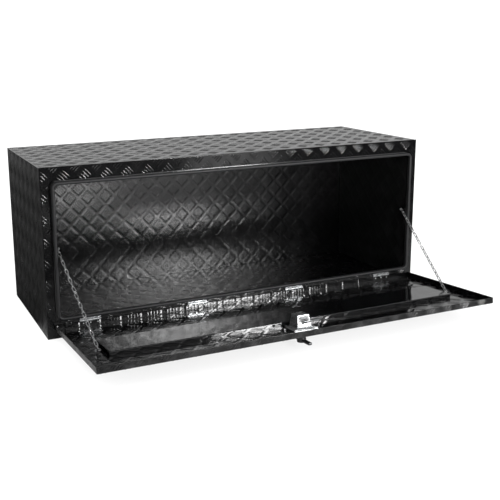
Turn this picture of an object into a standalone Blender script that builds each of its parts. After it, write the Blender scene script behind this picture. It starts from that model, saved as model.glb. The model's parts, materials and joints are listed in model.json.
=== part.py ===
"""Underbody truck tool box: tread plate box, drop-down door on chains, T-handle latch.

Metres, +Z up. The origin is the centre of the box's base, and the front faces -Y.
The door stands open at rest, held by its chains. A door piece is modelled in the door's
own frame, whose origin is the hinge axis: -Y runs out along the door and +Z is its inside.
"""
import math

import bmesh
import bpy
from mathutils import Matrix, Vector

# Box
box_width = 1.220
box_depth = 0.440
box_height = 0.480
sheet = 0.0019
gap = 0.0003
overrun = 0.004

# Opening in the front, with a lip that stands forward
border_side = 0.0324
border_top = 0.0440
border_bottom = 0.0600
opening_corner = 0.012
lip_reach = 0.0135
arc_steps = 4

# Rubber seal pushed on the lip
seal_width = 0.0093
seal_front = 0.0185
seal_rear = 0.0065
seal_round = 0.003

# Door pan, hanging by its hinges and open by this angle above level
open_slope = math.radians(4.1)
door_lap = 0.0128
flange_depth = 0.0177
hinge_height = 0.0424

# Hinges
hinge_count = 4
hinge_inset = 0.1014
hinge_length = 0.060
barrel_radius = 0.0028
bore_radius = 0.0016
pin_radius = 0.0012
pin_overhang = 0.0012
leaf_thickness = 0.0014
leaf_reach = 0.0125
knuckle_count = 5
knuckle_gap = 0.0004
barrel_sides = 10
neck_share = 0.35
crown_share = 0.6

# Rivets of the hinges
rivet_pitch = 0.0205
rivet_radius = 0.0016
rivet_head_radius = 0.0024
rivet_head_height = 0.0014
rivet_count = 3
rivet_sides = 6
rivet_line = 0.0082

# Stiffener along the door's inside
stiffener_inset = 0.0654
stiffener_width = 0.119
stiffener_room = 0.0015
stiffener_height = 0.012

# Keeper under the opening's top lip
keeper_width = 0.040
keeper_drop = 0.0120
keeper_sheet = 0.0015

# Latch, at the middle of the door
latch_inset = 0.080
shaft_side = 0.008
shaft_bore = 0.0061
thread_radius = 0.0035
thread_length = 0.0085
round_sides = 12

gasket_thickness = 0.0015
escutcheon_length = 0.124
escutcheon_width = 0.040
escutcheon_thickness = 0.004
escutcheon_corner = 0.008

handle_drop = 0.0325
bar_length = 0.094
bar_width = 0.012
bar_thickness = 0.008
bar_round = 0.003
hub_radius = 0.0125
hub_proud = 0.002
stem_radius = 0.0095
socket_depth = 0.009
plug_radius = 0.0060
plug_length = 0.0095
key_slot_width = 0.0014
key_slot_length = 0.0078
key_slot_depth = 0.004

latch_plate_width = 0.072
latch_plate_back = 0.028
latch_plate_front = 0.0275
latch_plate_sheet = 0.002
latch_plate_edge = 0.004

housing_base_width = 0.047
housing_back = 0.026
housing_front = 0.019
housing_top_width = 0.035
housing_top_shrink = 0.006
housing_height = 0.0344
housing_wall = 0.0015
housing_round = 0.003
slot_height = 0.0064
slot_side = 0.0075

bush_radius = 0.009
arm_thickness = 0.0024
arm_tip_room = 0.0026
arm_width = 0.014
arm_hub_radius = 0.010
washer_radius = 0.0075
washer_thickness = 0.001
nut_across = 0.013
nut_height = 0.0065

# Bolts of the escutcheon
bolt_inset = 0.010
bolt_radius = 0.0025
bolt_head_radius = 0.005
bolt_head_height = 0.0026
bolt_nut_across = 0.008
bolt_nut_height = 0.004
bolt_tail = 0.0015

# Chains and their anchors
link_count = 22
upper_link_count = 10
link_bite = 0.0004
wire_radius = 0.00125
link_width = 0.0095
link_arc_steps = 3
open_pivot_gap = 0.003
anchor_radius = 0.002
anchor_head_radius = 0.004
anchor_head_height = 0.0028
anchor_half_space = 0.0033
anchor_nut_across = 0.007
anchor_nut_height = 0.0032
bracket_sheet = 0.002
bracket_half = 0.0065
bracket_over = 0.0055
bracket_foot = 0.020

box_anchor_inset = 0.0086
box_anchor_back = 0.0095
box_anchor_rise = 0.2106
door_anchor_inset = 0.0489
door_anchor_back = 0.039
door_anchor_height = 0.0085

# Places that follow from the sizes above
front_y = -box_depth / 2
back_y = box_depth / 2
half_width = box_width / 2
opening_half = half_width - border_side
opening_top = box_height - border_top
opening_bottom = border_bottom
door_half = opening_half + door_lap
door_reach = opening_top + door_lap - hinge_height
hinge_pitch = 2 * (door_half - hinge_inset) / (hinge_count - 1)
hinge_axis = Vector((0, front_y - gap - barrel_radius, hinge_height))
floor_in = sheet - flange_depth
floor_out = -flange_depth
hinge_flange_out = barrel_radius - leaf_thickness - gap
leaf_start = barrel_radius + gap
latch_place = door_reach - latch_inset
arm_reach = latch_inset - door_lap - arm_tip_room
stiffener_far = latch_place - latch_plate_back - stiffener_room
stiffener_near = stiffener_far - stiffener_width
stiffener_half = door_half - stiffener_inset
box_anchor_height = hinge_height + box_anchor_rise
door_anchor_place = stiffener_far - door_anchor_back
plate_top = floor_in + gap + latch_plate_sheet
escutcheon_top = floor_out - gap - gasket_thickness - gap
escutcheon_bottom = escutcheon_top - escutcheon_thickness
bar_middle = floor_out - handle_drop
hub_bottom = bar_middle - bar_thickness / 2 - hub_proud
bolt_place = escutcheon_length / 2 - bolt_inset
arm_bottom = -arm_thickness / 2
arm_top = arm_thickness / 2


def clear_scene():
    for item in list(bpy.data.objects):
        bpy.data.objects.remove(item, do_unlink=True)


def make_collection(name):
    group = bpy.data.collections.new(name)
    bpy.context.scene.collection.children.link(group)
    return group


def make_material(name, colour, roughness, metallic):
    item = bpy.data.materials.new(name)
    item.use_nodes = True
    shader = item.node_tree.nodes["Principled BSDF"]
    shader.inputs["Base Color"].default_value = (*colour, 1)
    shader.inputs["Roughness"].default_value = roughness
    shader.inputs["Metallic"].default_value = metallic
    item.diffuse_color = (*colour, 1)
    return item


clear_scene()
parts = make_collection("underbody_tool_box")
cutters = make_collection("cutters")
finishes = {
    "black_tread": make_material("black_tread", (0.012, 0.012, 0.013), 0.22, 0.0),
    "black_coat": make_material("black_coat", (0.010, 0.010, 0.011), 0.18, 0.0),
    "seal_rubber": make_material("seal_rubber", (0.050, 0.050, 0.052), 0.60, 0.0),
    "zinc": make_material("zinc", (0.72, 0.73, 0.75), 0.28, 1.0),
    "chain_zinc": make_material("chain_zinc", (0.66, 0.67, 0.69), 0.30, 1.0),
    "handle_black": make_material("handle_black", (0.015, 0.015, 0.016), 0.35, 0.0),
    "lock_chrome": make_material("lock_chrome", (0.80, 0.80, 0.82), 0.15, 1.0),
}


def cube(low, high):
    """A box between two corners."""
    shape = bmesh.new()
    bmesh.ops.create_cube(shape, size=1)
    low = Vector(low)
    high = Vector(high)
    size = high - low
    bmesh.ops.scale(shape, vec=size, verts=shape.verts)
    bmesh.ops.translate(shape, vec=(low + high) / 2, verts=shape.verts)
    return shape


def cylinder(radius, low, high, sides):
    """A closed cylinder along Z between two heights."""
    shape = bmesh.new()
    bmesh.ops.create_cone(
        shape, cap_ends=True, segments=sides, radius1=radius, radius2=radius, depth=high - low
    )
    bmesh.ops.translate(shape, vec=(0, 0, (low + high) / 2), verts=shape.verts)
    return shape


def mesh_of(source):
    """The evaluated mesh of an object as a welded bmesh; the object is removed."""
    bpy.context.view_layer.update()
    graph = bpy.context.evaluated_depsgraph_get()
    mesh = bpy.data.meshes.new_from_object(source.evaluated_get(graph))
    shape = bmesh.new()
    shape.from_mesh(mesh)
    bmesh.ops.transform(shape, matrix=source.matrix_world, verts=shape.verts)
    weld = wire_radius / 1000
    bmesh.ops.remove_doubles(shape, verts=shape.verts, dist=weld)
    data = source.data
    bpy.data.objects.remove(source, do_unlink=True)
    if isinstance(data, bpy.types.Curve):
        bpy.data.curves.remove(data)
    bpy.data.meshes.remove(mesh)
    return shape


PLANES = {
    "XY": Matrix.Identity(4),
    "XZ": Matrix.Rotation(math.pi / 2, 4, "X"),
    "YZ": Matrix(((0, 0, 1, 0), (1, 0, 0, 0), (0, 1, 0, 0), (0, 0, 0, 1))),
}


def plate(loops, plane, low, high):
    """A flat outline, with holes where it has more loops, thick from low to high."""
    curve = bpy.data.curves.new("outline", "CURVE")
    curve.dimensions = "2D"
    curve.fill_mode = "BOTH"
    curve.extrude = (high - low) / 2
    for loop in loops:
        spline = curve.splines.new("POLY")
        spline.points.add(len(loop) - 1)
        for point, (across, up) in zip(spline.points, loop):
            point.co = (across, up, 0, 1)
        spline.use_cyclic_u = True
    item = bpy.data.objects.new("outline", curve)
    cutters.objects.link(item)
    shape = mesh_of(item)
    middle = (low + high) / 2
    if plane == "XZ":
        middle = -middle
    bmesh.ops.translate(shape, vec=(0, 0, middle), verts=shape.verts)
    bmesh.ops.transform(shape, matrix=PLANES[plane], verts=shape.verts)
    return shape


def rectangle(left, right, bottom, top):
    return [(left, bottom), (right, bottom), (right, top), (left, top)]


def rounded_rectangle(left, right, bottom, top, radius):
    """Corner points of a rectangle whose corners are arcs."""
    points = []
    corners = (
        (right - radius, bottom + radius, -90),
        (right - radius, top - radius, 0),
        (left + radius, top - radius, 90),
        (left + radius, bottom + radius, 180),
    )
    for x, y, start in corners:
        for step in range(arc_steps + 1):
            turn = math.radians(start + 90 * step / arc_steps)
            points.append((x + radius * math.cos(turn), y + radius * math.sin(turn)))
    return points


def circle(x, y, radius, sides):
    turns = [2 * math.pi * step / sides for step in range(sides)]
    return [(x + radius * math.cos(turn), y + radius * math.sin(turn)) for turn in turns]


def bent_sheet(path, thickness):
    """The closed outline of a bent sheet, whose thickness lies to the left of its path."""
    inner = []
    for index, point in enumerate(path):
        here = Vector(point)
        before = Vector(path[index - 1]) if index else None
        after = Vector(path[index + 1]) if index + 1 < len(path) else None
        normals = []
        if before is not None:
            run = (here - before).normalized()
            normals.append(Vector((-run.y, run.x)))
        if after is not None:
            run = (after - here).normalized()
            normals.append(Vector((-run.y, run.x)))
        middle = sum(normals, Vector((0, 0))).normalized()
        shift = middle * (thickness / middle.dot(normals[0]))
        inner.append(tuple(here + shift))
    return list(path) + inner[::-1]


def turned(profile, sides):
    """A solid turned about Z from a profile of radii and heights, from top to bottom."""
    shape = bmesh.new()
    points = [shape.verts.new((radius, 0, height)) for radius, height in profile]
    for first, second in zip(points, points[1:]):
        shape.edges.new((first, second))
    mesh = bpy.data.meshes.new("profile")
    shape.to_mesh(mesh)
    shape.free()
    item = bpy.data.objects.new("profile", mesh)
    cutters.objects.link(item)
    screw = item.modifiers.new("Turn", "SCREW")
    screw.steps = sides
    screw.render_steps = sides
    screw.use_merge_vertices = True
    screw.merge_threshold = wire_radius / 1000
    screw.use_smooth_shade = False
    result = mesh_of(item)
    bmesh.ops.recalc_face_normals(result, faces=result.faces)
    return result


def join(shapes):
    """Several shapes as the separate bodies of one mesh."""
    result = bmesh.new()
    for shape in shapes:
        mesh = bpy.data.meshes.new("joined")
        shape.to_mesh(mesh)
        shape.free()
        result.from_mesh(mesh)
        bpy.data.meshes.remove(mesh)
    return result


def moved(shape, matrix):
    bmesh.ops.transform(shape, matrix=matrix, verts=shape.verts)
    return shape


def copies(shape, matrices):
    """One shape repeated at several places."""
    result = join([moved(shape.copy(), matrix) for matrix in matrices])
    shape.free()
    return result


def add_object(name, shape, group):
    mesh = bpy.data.meshes.new(name)
    shape.to_mesh(mesh)
    shape.free()
    item = bpy.data.objects.new(name, mesh)
    group.objects.link(item)
    return item


def add_part(name, shape, finish, parent=None, smooth=False):
    item = add_object(name, shape, parts)
    item.data.materials.append(finishes[finish])
    item.parent = parent
    if smooth:
        item.data.shade_smooth()
        item.data.set_sharp_from_angle(angle=math.radians(40))
    return item


def boolean(target, shape, operation, parent=None):
    """Cuts or joins a shape with a modifier; the shape stays as a wire guide."""
    guide = add_object(f"{target.name}_{operation.lower()}", shape, cutters)
    guide.parent = parent
    guide.hide_render = True
    guide.display_type = "WIRE"
    modifier = target.modifiers.new(operation.title(), "BOOLEAN")
    modifier.operation = operation
    modifier.object = guide
    return guide


def add_axis(name, place, turn, parent=None):
    """An empty that carries pieces; its origin is on their joint's axis."""
    item = bpy.data.objects.new(name, None)
    item.empty_display_size = box_depth / 10
    parts.objects.link(item)
    item.parent = parent
    item.matrix_local = Matrix.Translation(place) @ turn
    return item


def along_x(place):
    """Turns a shape made along Z to run along +X from a place."""
    return Matrix.Translation(place) @ Matrix.Rotation(math.pi / 2, 4, "Y")


def along_y(place):
    """Turns a shape made along Z to run along -Y from a place."""
    return Matrix.Translation(place) @ Matrix.Rotation(math.pi / 2, 4, "X")


def hinge_places():
    first = -(hinge_count - 1) / 2
    return [(first + index) * hinge_pitch for index in range(hinge_count)]


def rivet_places():
    """The x of every hinge rivet, over all hinges."""
    first = -(rivet_count - 1) / 2
    return [x + (first + index) * rivet_pitch for x in hinge_places() for index in range(rivet_count)]


def make_panels():
    """The flat sheets behind the front frame."""
    inner_front = front_y + sheet + gap
    side_in = half_width - sheet
    low_in = sheet + gap
    high_in = box_height - sheet - gap
    top = cube((-half_width, inner_front, box_height - sheet), (half_width, back_y, box_height))
    add_part("top_panel", top, "black_tread")
    bottom = cube((-half_width, inner_front, 0), (half_width, back_y, sheet))
    add_part("bottom_panel", bottom, "black_tread")
    back_half = half_width
    back = cube((-back_half, back_y - sheet, low_in), (back_half, back_y, high_in))
    add_part("back_panel", back, "black_tread")
    end_back = back_y - sheet - gap
    left = cube((-half_width, inner_front, low_in), (-side_in, end_back, high_in))
    add_part("left_end_panel", left, "black_tread")
    right = cube((side_in, inner_front, low_in), (half_width, end_back, high_in))
    add_part("right_end_panel", right, "black_tread")


def opening_loop(grow):
    """The opening's outline, grown outwards."""
    return rounded_rectangle(
        -opening_half - grow, opening_half + grow, opening_bottom - grow, opening_top + grow,
        opening_corner + grow,
    )


def make_front():
    """The frame round the opening, its forward lip, the seal and the latch's keeper."""
    outer = rectangle(-half_width, half_width, 0, box_height)
    frame = plate([outer, opening_loop(sheet / 2)], "XZ", front_y, front_y + sheet)
    front = add_part("front_frame", frame, "black_tread")
    lip = plate([opening_loop(sheet), opening_loop(0)], "XZ", front_y - lip_reach, front_y + sheet)
    boolean(front, lip, "UNION")
    bores = cylinder(rivet_radius + gap, -overrun, overrun, rivet_sides)
    line = hinge_height + rivet_line
    boolean(front, copies(bores, [along_y((x, front_y, line)) for x in rivet_places()]), "DIFFERENCE")

    grow = sheet / 2 + seal_width / 2
    shrink = sheet / 2 - seal_width / 2
    ring_front = front_y - seal_front
    ring = plate([opening_loop(grow), opening_loop(shrink)], "XZ", ring_front, front_y - seal_rear)
    near = gap / 10
    edges = [edge for edge in ring.edges if all(abs(v.co.y - ring_front) < near for v in edge.verts)]
    rims = [edge for edge in edges if len({round(face.normal.y) for face in edge.link_faces}) == 2]
    bmesh.ops.bevel(
        ring, geom=rims, offset=seal_round, segments=2, profile=0.5, affect="EDGES"
    )
    seal = add_part("door_seal", ring, "seal_rubber", smooth=True)
    groove = plate(
        [opening_loop(sheet + gap), opening_loop(-gap)], "XZ", front_y - lip_reach - gap, front_y + overrun
    )
    boolean(seal, groove, "DIFFERENCE")

    top = opening_top - gap
    rear = front_y + sheet
    front_face = front_y - seal_rear + gap
    path = [(rear, top), (front_face, top), (front_face, top - keeper_drop)]
    keeper = plate([bent_sheet(path, keeper_sheet)], "YZ", -keeper_width / 2, keeper_width / 2)
    add_part("latch_keeper", keeper, "black_coat")


def knuckle_spans(first):
    """Start and end along the hinge of every second knuckle, counted from first."""
    pitch = hinge_length / knuckle_count
    spans = []
    for index in range(first, knuckle_count, 2):
        low = -hinge_length / 2 + index * pitch
        spans.append((low + knuckle_gap / 2, low + pitch - knuckle_gap / 2))
    return spans


def make_rivets(x_list, leaf_face, sheet_face, tail):
    """Rivets along Y from inside a leaf through the sheet behind it, each with its formed heads."""
    toward = 1 if sheet_face > leaf_face else -1
    outer = rivet_head_height
    crown = rivet_head_radius * crown_share
    length = abs(sheet_face - leaf_face)
    profile = [
        (0, length + gap + outer),
        (crown, length + gap + outer),
        (rivet_head_radius, length + gap),
        (rivet_radius, length + gap),
    ]
    if tail:
        profile += [
            (rivet_radius, 0),
            (rivet_head_radius, 0),
            (crown, -rivet_head_height),
            (0, -rivet_head_height),
        ]
    else:
        profile += [(rivet_radius, 0), (0, 0)]
    turn = Matrix.Rotation(-toward * math.pi / 2, 4, "X")
    places = [Matrix.Translation((x, leaf_face, 0)) @ turn for x in x_list]
    return copies(turned(profile, rivet_sides), places)


def make_leaf(name, x, first, up, parent, place):
    """One hinge leaf with its rolled knuckles and its rivets, all in one piece."""
    half = hinge_length / 2
    inner = barrel_radius - leaf_thickness
    rows = sorted((up * leaf_start, up * leaf_reach))
    leaf = cube((-half, inner, rows[0]), (half, barrel_radius, rows[1]))
    item = add_part(name, leaf, "zinc", parent, smooth=True)
    item.location = (x, *place)
    shapes = []
    for low, high in knuckle_spans(first):
        outline = [circle(0, 0, barrel_radius, barrel_sides), circle(0, 0, bore_radius, barrel_sides)]
        shapes.append(plate(outline, "YZ", low, high))
    rows = sorted((up * barrel_radius * neck_share, up * (leaf_start + leaf_thickness)))
    necks = [
        cube((low, inner + gap, rows[0]), (high, barrel_radius - gap / 2, rows[1]))
        for low, high in knuckle_spans(first)
    ]
    first_rivet = -(rivet_count - 1) / 2
    x_list = [(first_rivet + index) * rivet_pitch for index in range(rivet_count)]
    if up > 0:
        rivets = make_rivets(x_list, inner + gap, barrel_radius + gap + sheet, True)
    else:
        rivets = make_rivets(x_list, barrel_radius - gap, hinge_flange_out - sheet, False)
    bmesh.ops.translate(rivets, vec=(0, 0, up * rivet_line), verts=rivets.verts)
    for shape in (join(shapes), join(necks), rivets):
        guide = boolean(item, shape, "UNION", parent)
        guide.location = item.location


def make_hinges(door_axis):
    """Four butt hinges: one leaf on the front frame, one behind the door's flange."""
    for number, x in enumerate(hinge_places(), 1):
        make_leaf(f"hinge_{number}_box_leaf", x, 0, 1, None, hinge_axis.yz)
        make_leaf(f"hinge_{number}_door_leaf", x, 1, -1, door_axis, (0, 0))
        half = hinge_length / 2 + pin_overhang
        pin = moved(cylinder(pin_radius, -half, half, barrel_sides), along_x((x, *hinge_axis.yz)))
        add_part(f"hinge_{number}_pin", pin, "zinc", smooth=True)


def make_door(door_axis):
    """The door's pan and the channel that stiffens it."""
    shape = cube((-door_half, -door_reach, floor_out), (door_half, hinge_flange_out, 0))
    top = [face for face in shape.faces if face.normal.z > 0.5]
    bmesh.ops.delete(shape, geom=top, context="FACES")
    pan = add_part("door_pan", shape, "black_tread", door_axis)
    wall = pan.modifiers.new("Sheet", "SOLIDIFY")
    wall.thickness = sheet
    wall.offset = -1
    wall.use_even_offset = True
    relief = cube(
        (-door_half - overrun, hinge_flange_out - sheet - gap, -leaf_start - gap),
        (door_half + overrun, hinge_flange_out + overrun, overrun),
    )
    boolean(pan, relief, "DIFFERENCE", door_axis)
    rivet_bore = cylinder(rivet_radius + gap, -overrun, overrun, rivet_sides)
    bores = copies(rivet_bore, [along_y((x, hinge_flange_out, -rivet_line)) for x in rivet_places()])
    boolean(pan, bores, "DIFFERENCE", door_axis)
    holes = [cylinder(shaft_bore, floor_out - overrun, floor_in + overrun, round_sides)]
    for side in (-1, 1):
        hole = cylinder(bolt_radius + gap, floor_out - overrun, floor_in + overrun, round_sides)
        holes.append(moved(hole, Matrix.Translation((side * bolt_place, 0, 0))))
    guide = boolean(pan, join(holes), "DIFFERENCE", door_axis)
    guide.location = (0, -latch_place, 0)

    low = floor_in + gap
    high = low + stiffener_height
    path = [(-stiffener_near, low), (-stiffener_near, high), (-stiffener_far, high), (-stiffener_far, low)]
    channel = plate([bent_sheet(path, sheet)], "YZ", -stiffener_half, stiffener_half)
    add_part("door_stiffener", channel, "black_coat", door_axis)


def make_latch(door_axis):
    """The T-handle, its keyed plug, and the turning arm inside the door."""
    axis = add_axis("latch_axis", (0, -latch_place, 0), Matrix.Identity(4), door_axis)

    half_length = escutcheon_length / 2
    half_across = escutcheon_width / 2
    outline = rounded_rectangle(-half_length, half_length, -half_across, half_across, escutcheon_corner)
    holes = [circle(0, 0, shaft_bore, round_sides)]
    holes += [circle(side * bolt_place, 0, bolt_radius + gap, round_sides) for side in (-1, 1)]
    gasket_top = floor_out - gap
    gasket = plate([outline, *holes], "XY", gasket_top - gasket_thickness, gasket_top)
    add_part("handle_gasket", gasket, "seal_rubber", axis)
    escutcheon = plate([outline, *holes], "XY", escutcheon_bottom, escutcheon_top)
    add_part("handle_escutcheon", escutcheon, "handle_black", axis)

    stem_top = escutcheon_bottom - gap
    handle = add_part(
        "t_handle", cylinder(hub_radius, hub_bottom, bar_middle + bar_thickness / 2 + hub_proud, round_sides),
        "handle_black", axis, smooth=True,
    )
    stem = cylinder(stem_radius, bar_middle, stem_top, round_sides)
    boolean(handle, stem, "UNION", axis)
    bar_low = bar_middle - bar_thickness / 2
    bar = cube(
        (-bar_width / 2, -bar_length / 2, bar_low), (bar_width / 2, bar_length / 2, bar_low + bar_thickness)
    )
    bmesh.ops.bevel(
        bar, geom=bar.edges, offset=bar_round, segments=2, profile=0.5, affect="EDGES"
    )
    boolean(handle, bar, "UNION", axis)
    shaft_half = shaft_side / 2
    socket_low = stem_top - socket_depth
    shaft_room = shaft_half + gap
    socket = cube(
        (-shaft_room, -shaft_room, socket_low - gap), (shaft_room, shaft_room, stem_top + overrun)
    )
    boolean(handle, socket, "DIFFERENCE", axis)
    plug_top = hub_bottom + plug_length
    pocket = cylinder(plug_radius + gap, hub_bottom - overrun, plug_top + gap, round_sides)
    boolean(handle, pocket, "DIFFERENCE", axis)

    plug = add_part(
        "lock_plug", cylinder(plug_radius, hub_bottom, plug_top, round_sides), "lock_chrome", axis, smooth=True
    )
    key_slot = cube(
        (-key_slot_width / 2, -key_slot_length / 2, hub_bottom - overrun),
        (key_slot_width / 2, key_slot_length / 2, hub_bottom + key_slot_depth),
    )
    boolean(plug, key_slot, "DIFFERENCE", axis)

    square_top = arm_top - gap
    square = cube((-shaft_half, -shaft_half, socket_low), (shaft_half, shaft_half, square_top))
    shaft = add_part("latch_shaft", square, "zinc", axis, smooth=True)
    thread = cylinder(thread_radius, square_top - overrun, square_top + thread_length, round_sides)
    boolean(shaft, thread, "UNION", axis)

    near = latch_plate_back
    far = -latch_plate_front
    plate_low = floor_in + gap
    path = [(near, plate_low), (far, plate_low), (far, plate_low + latch_plate_edge)]
    sheet_metal = plate(
        [bent_sheet(path, -latch_plate_sheet)], "YZ", -latch_plate_width / 2, latch_plate_width / 2
    )
    bmesh.ops.recalc_face_normals(sheet_metal, faces=sheet_metal.faces)
    latch_plate = add_part("latch_plate", sheet_metal, "zinc", axis)
    bore = cylinder(shaft_bore, floor_in - overrun, plate_top + overrun, round_sides)
    boolean(latch_plate, bore, "DIFFERENCE", axis)

    bush_low = plate_top + gap
    bush = plate(
        [circle(0, 0, bush_radius, round_sides), circle(0, 0, shaft_bore, round_sides)],
        "XY", bush_low, arm_bottom - gap,
    )
    add_part("latch_bush", bush, "zinc", axis, smooth=True)

    make_housing(axis)

    side = arm_width / 2
    start = math.asin(side / arm_hub_radius)
    hub = [start + (2 * math.pi - 2 * start) * step / round_sides for step in range(round_sides + 1)]
    outline = [(arm_hub_radius * math.cos(turn), arm_hub_radius * math.sin(turn)) for turn in hub]
    tip_steps = round_sides // 2
    tip = [-math.pi / 2 + math.pi * step / tip_steps for step in range(tip_steps + 1)]
    outline += [(arm_reach - side + side * math.cos(turn), side * math.sin(turn)) for turn in tip]
    hole = rectangle(-shaft_room, shaft_room, -shaft_room, shaft_room)
    arm = plate([outline, hole], "XY", arm_bottom, arm_top)
    add_part("latch_arm", arm, "zinc", axis)

    washer_low = arm_top + gap
    washer_high = washer_low + washer_thickness
    washer = plate(
        [circle(0, 0, washer_radius, round_sides), circle(0, 0, thread_radius + gap, round_sides)],
        "XY", washer_low, washer_high,
    )
    add_part("arm_washer", washer, "zinc", axis, smooth=True)
    nut = hex_nut(nut_across, thread_radius, washer_high + gap, washer_high + gap + nut_height)
    add_part("arm_nut", nut, "zinc", axis)

    head_top = escutcheon_bottom - gap
    nut_low = floor_in + gap
    tail = nut_low + bolt_nut_height + bolt_tail
    crown = bolt_head_radius * crown_share
    profile = [
        (0, tail),
        (bolt_radius, tail),
        (bolt_radius, head_top),
        (bolt_head_radius, head_top),
        (crown, head_top - bolt_head_height),
        (0, head_top - bolt_head_height),
    ]
    for word, side_ in (("left", -1), ("right", 1)):
        place_ = Matrix.Translation((side_ * bolt_place, 0, 0))
        bolt = moved(turned(profile, round_sides), place_)
        add_part(f"{word}_escutcheon_bolt", bolt, "zinc", axis, smooth=True)
        bolt_nut = hex_nut(bolt_nut_across, bolt_radius, nut_low, nut_low + bolt_nut_height)
        add_part(f"{word}_escutcheon_nut", moved(bolt_nut, place_), "zinc", axis)
    return axis


def make_housing(axis):
    """The pressed cover over the arm's pivot, open to the side and front for the arm's swing."""
    low = plate_top + gap
    high = low + housing_height
    near = housing_back
    far = -housing_front
    shape = cube((-housing_base_width / 2, far, low), (housing_base_width / 2, near, high))
    middle = (near + far) / 2
    narrow = housing_top_width / housing_base_width
    length = near - far
    shorter = (length - 2 * housing_top_shrink) / length
    for vert in shape.verts:
        if vert.co.z > (low + high) / 2:
            vert.co.x *= narrow
            vert.co.y = middle + (vert.co.y - middle) * shorter
    bottom = [face for face in shape.faces if face.normal.z < -0.5]
    bmesh.ops.delete(shape, geom=bottom, context="FACES_ONLY")
    rounded = [edge for edge in shape.edges if not edge.is_boundary]
    bmesh.ops.bevel(
        shape, geom=rounded, offset=housing_round, segments=2, profile=0.5, affect="EDGES"
    )
    housing = add_part("latch_housing", shape, "zinc", axis, smooth=True)
    wall = housing.modifiers.new("Wall", "SOLIDIFY")
    wall.thickness = housing_wall
    wall.offset = -1
    wall.use_even_offset = True
    reach = housing_base_width
    slot = cube(
        (-slot_side, -reach, -slot_height / 2), (reach, slot_side, slot_height / 2)
    )
    below = cube((-reach, -reach, low - overrun), (reach, reach, low))
    boolean(housing, join([slot, below]), "DIFFERENCE", axis)


def hex_nut(across, bore, low, high):
    corner = across / 2 / math.cos(math.pi / 6)
    return plate([circle(0, 0, corner, 6), circle(0, 0, bore + gap, round_sides)], "XY", low, high)


def link_inner_length(span):
    """Inner length of a link, so that the chains just reach from anchor to anchor."""
    joints = link_count - 2
    taken = 2 * anchor_radius + 2 * gap - joints * link_bite - 4 * wire_radius - open_pivot_gap
    return (span + taken) / link_count


def make_link(inner_length):
    """One link in the XZ plane of its own frame, long along Z."""
    radius = (link_width - 2 * wire_radius) / 2
    straight = inner_length / 2 + wire_radius - radius
    curve = bpy.data.curves.new("link", "CURVE")
    curve.dimensions = "3D"
    curve.bevel_depth = wire_radius
    curve.bevel_resolution = 1
    points = []
    for end, start in ((1, 0), (-1, 180)):
        for step in range(link_arc_steps + 1):
            turn = math.radians(start + 180 * step / link_arc_steps)
            points.append((radius * math.cos(turn), 0, end * straight + radius * math.sin(turn)))
    spline = curve.splines.new("POLY")
    spline.points.add(len(points) - 1)
    for point, place in zip(spline.points, points):
        point.co = (*place, 1)
    spline.use_cyclic_u = True
    item = bpy.data.objects.new("link", curve)
    cutters.objects.link(item)
    shape = mesh_of(item)
    bmesh.ops.recalc_face_normals(shape, faces=shape.faces)
    return shape


def make_chain(name, axis, inner_length, count):
    """Links along the axis's +Z, the first one round the anchor bolt, joined where they bear."""
    first = inner_length / 2 - anchor_radius - gap
    pitch = inner_length + link_bite
    runs = ([], [])
    for index in range(count):
        place = Matrix.Translation((0, 0, first + index * pitch))
        runs[index % 2].append(place @ Matrix.Rotation(math.pi / 2 * (1 - index % 2), 4, "Z"))
    link = make_link(inner_length)
    item = add_part(name, copies(link.copy(), runs[0]), "chain_zinc", axis, smooth=True)
    boolean(item, copies(link, runs[1]), "UNION", axis)


def facing(direction):
    """A turn whose Z runs along a direction and whose X stays nearest to the model's X."""
    forward = direction.normalized()
    side = Vector((1, 0, 0))
    side = (side - forward * side.dot(forward)).normalized()
    third = forward.cross(side)
    return Matrix((side, third, forward)).transposed().to_4x4()


def make_anchor_bolt(name, side, place, parent):
    """A bolt along X: its head towards the middle, its nut outside the bracket."""
    outer = anchor_half_space + bracket_sheet + gap + anchor_nut_height + gap
    head = -anchor_half_space + gap
    crown = anchor_head_radius * crown_share
    profile = [
        (0, outer),
        (anchor_radius, outer),
        (anchor_radius, head),
        (anchor_head_radius, head),
        (crown, head - anchor_head_height),
        (0, head - anchor_head_height),
    ]
    facing_side = Matrix.Scale(side, 4, (1, 0, 0))
    shape = moved(turned(profile, round_sides), along_x((0, 0, 0)))
    shape = moved(shape, Matrix.Translation(place) @ facing_side)
    bmesh.ops.recalc_face_normals(shape, faces=shape.faces)
    add_part(f"{name}_bolt", shape, "zinc", parent, smooth=True)
    nut_low = anchor_half_space + bracket_sheet + gap
    nut = hex_nut(anchor_nut_across, anchor_radius, nut_low, nut_low + anchor_nut_height)
    nut = moved(moved(nut, along_x((0, 0, 0))), Matrix.Translation(place) @ facing_side)
    bmesh.ops.recalc_face_normals(nut, faces=nut.faces)
    add_part(f"{name}_nut", nut, "zinc", parent)


def make_bracket(name, path, low, high, plane, place, parent):
    """A bent bracket with a bore for its bolt."""
    shape = plate([bent_sheet(path, bracket_sheet)], plane, low, high)
    bmesh.ops.recalc_face_normals(shape, faces=shape.faces)
    item = add_part(name, shape, "black_coat", parent)
    reach = bracket_foot
    bore = cylinder(anchor_radius + gap, -reach, reach, round_sides)
    boolean(item, moved(bore, along_x(place)), "DIFFERENCE", parent)


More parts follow.
